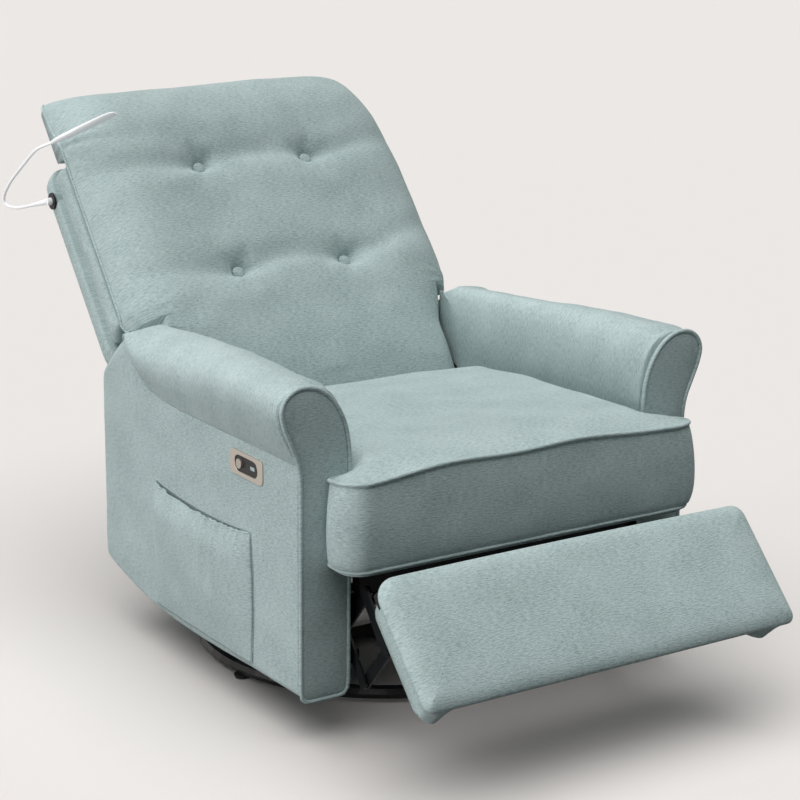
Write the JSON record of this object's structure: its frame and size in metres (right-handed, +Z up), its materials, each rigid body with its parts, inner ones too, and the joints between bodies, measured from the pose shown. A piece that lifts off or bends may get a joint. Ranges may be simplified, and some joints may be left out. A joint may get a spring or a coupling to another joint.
{
  "type": "swivel recliner armchair",
  "caption": "Upholstered swivel glider recliner with rolled arms, tufted back, push-button footrest, side pocket and reading light, half reclined.",
  "frame": {"origin": "on the floor, on the swivel axis", "axes": "+Z up, the chair faces -Y, +X is to the sitter's left"},
  "size_m": [0.8696, 1.3759, 0.9609],
  "materials": {
    "black_steel": "black powder coat",
    "bright_steel": "zinc plated",
    "black_plastic": "matt",
    "white_plastic": "satin",
    "taupe_trim": "satin metallic",
    "plywood": "raw",
    "chenille": "chenille weave with a fine slub"
  },
  "bodies": {
    "base": {"base_ring": "black_steel", "base_foot_1": "black_plastic", "base_foot_2": "black_plastic", "base_foot_3": "black_plastic", "base_foot_4": "black_plastic", "base_foot_5": "black_plastic", "base_foot_6": "black_plastic", "base_hub": "black_steel", "bearing_race": "bright_steel"},
    "platform": {"swivel_plate": "black_steel", "glide_cradle": "black_steel"},
    "front_links": {"glide_link_front_left": "bright_steel", "glide_link_front_right": "bright_steel"},
    "rear_links": {"glide_link_rear_left": "bright_steel", "glide_link_rear_right": "bright_steel"},
    "chassis": {"side_plate_left": "black_steel", "side_plate_right": "black_steel", "glide_rail_left": "black_steel", "glide_rail_right": "black_steel", "cross_tube_front": "black_steel", "cross_tube_rear": "black_steel", "seat_deck": "plywood", "seat_cushion": "chenille", "arm_body_left": "chenille", "arm_body_right": "chenille", "arm_roll_left": "chenille", "arm_roll_right": "chenille", "arm_front_left": "chenille", "arm_front_right": "chenille", "side_pocket": "chenille", "control_plate": "taupe_trim", "control_insert": "black_plastic", "usb_socket": "bright_steel", "actuator_motor": "black_plastic", "actuator_rail": "bright_steel"},
    "button": {"control_button": "taupe_trim"},
    "carriage": {"actuator_carriage": "bright_steel"},
    "lift_links": {"footrest_lift_link_left": "black_steel", "footrest_lift_link_right": "black_steel", "torque_tube": "black_steel"},
    "guide_links": {"footrest_guide_link_left": "black_steel", "footrest_guide_link_right": "black_steel"},
    "short_links": {"footrest_short_link_left": "black_steel", "footrest_short_link_right": "black_steel"},
    "carry_links": {"footrest_carry_link_left": "black_steel", "footrest_carry_link_right": "black_steel"},
    "footrest": {"footrest_board": "plywood", "footrest_pad": "chenille"},
    "back": {"back_bracket_left": "black_steel", "back_bracket_right": "black_steel", "back_frame": "plywood", "back_shell": "chenille", "back_pillow": "chenille", "tuft_button_1": "chenille", "tuft_button_2": "chenille", "tuft_button_3": "chenille", "tuft_button_4": "chenille", "lamp_socket": "black_plastic"},
    "lamp": {"lamp_neck": "white_plastic", "lamp_head": "white_plastic"}
  },
  "joints": [
    {"name": "swivel", "type": "hinge", "parent": "base", "child": "platform", "pos_m": [0, 0, 0], "axis": [0, 0, 1], "range_deg": [-135, 135]},
    {"name": "glide", "type": "hinge", "parent": "platform", "child": "front_links", "pos_m": [0, -0.17, 0.19], "axis": [-1, 0, 0], "range_deg": [-24, 24]},
    {"name": "glide_rear", "type": "hinge", "parent": "platform", "child": "rear_links", "pos_m": [0, 0.17, 0.19], "axis": [-1, 0, 0], "range_deg": [-24.5, 24.5]},
    {"name": "glide_chassis", "type": "hinge", "parent": "front_links", "child": "chassis", "pos_m": [0, -0.17, 0.09], "axis": [-1, 0, 0], "range_deg": [-24.5, 24.5]},
    {"name": "back_recline", "type": "hinge", "parent": "chassis", "child": "back", "pos_m": [0, 0.2135, 0.41], "axis": [-1, 0, 0], "range_deg": [-24, 20]},
    {"name": "footrest_lift", "type": "hinge", "parent": "chassis", "child": "lift_links", "pos_m": [0, -0.276, 0.262], "axis": [-1, 0, 0], "range_deg": [-33.6, 28]},
    {"name": "footrest_guide", "type": "hinge", "parent": "lift_links", "child": "guide_links", "pos_m": [0, -0.3359, 0.18193], "axis": [-1, 0, 0], "range_deg": [-42, 50.3]},
    {"name": "footrest_short", "type": "hinge", "parent": "guide_links", "child": "short_links", "pos_m": [0, -0.39937, 0.2592], "axis": [-1, 0, 0], "range_deg": [-50.3, 42]},
    {"name": "footrest_carry", "type": "hinge", "parent": "lift_links", "child": "carry_links", "pos_m": [0, -0.39581, 0.10185], "axis": [-1, 0, 0], "range_deg": [-42, 50.3]},
    {"name": "footrest_tilt", "type": "hinge", "parent": "carry_links", "child": "footrest", "pos_m": [0, -0.52275, 0.2564], "axis": [-1, 0, 0], "range_deg": [-60.3, 50.3]},
    {"name": "actuator_travel", "type": "slide", "parent": "chassis", "child": "carriage", "axis": [0, -1, 0], "range_m": [-0.049, 0.041]},
    {"name": "control_press", "type": "slide", "parent": "chassis", "child": "button", "axis": [1, 0, 0], "range_m": [0, 0.0015], "stiffness_N_per_m": 400},
    {"name": "lamp_turn", "type": "hinge", "parent": "back", "child": "lamp", "pos_m": [-0.368, 0.58299, 0.75201], "axis": [-1, 0, 0], "range_deg": [-30, 25]}
  ],
  "couplings": [
    {"joint": "glide_rear", "follows": "glide", "ratio": 1},
    {"joint": "glide_chassis", "follows": "glide", "ratio": -1},
    {"joint": "footrest_lift", "follows": "back_recline", "ratio": 1.39},
    {"joint": "footrest_guide", "follows": "back_recline", "ratio": -2.08},
    {"joint": "footrest_short", "follows": "back_recline", "ratio": 2.08},
    {"joint": "footrest_carry", "follows": "back_recline", "ratio": -2.08},
    {"joint": "footrest_tilt", "follows": "back_recline", "ratio": 2.498},
    {"joint": "actuator_travel", "follows": "back_recline", "m_per_rad": 0.11402}
  ]
}
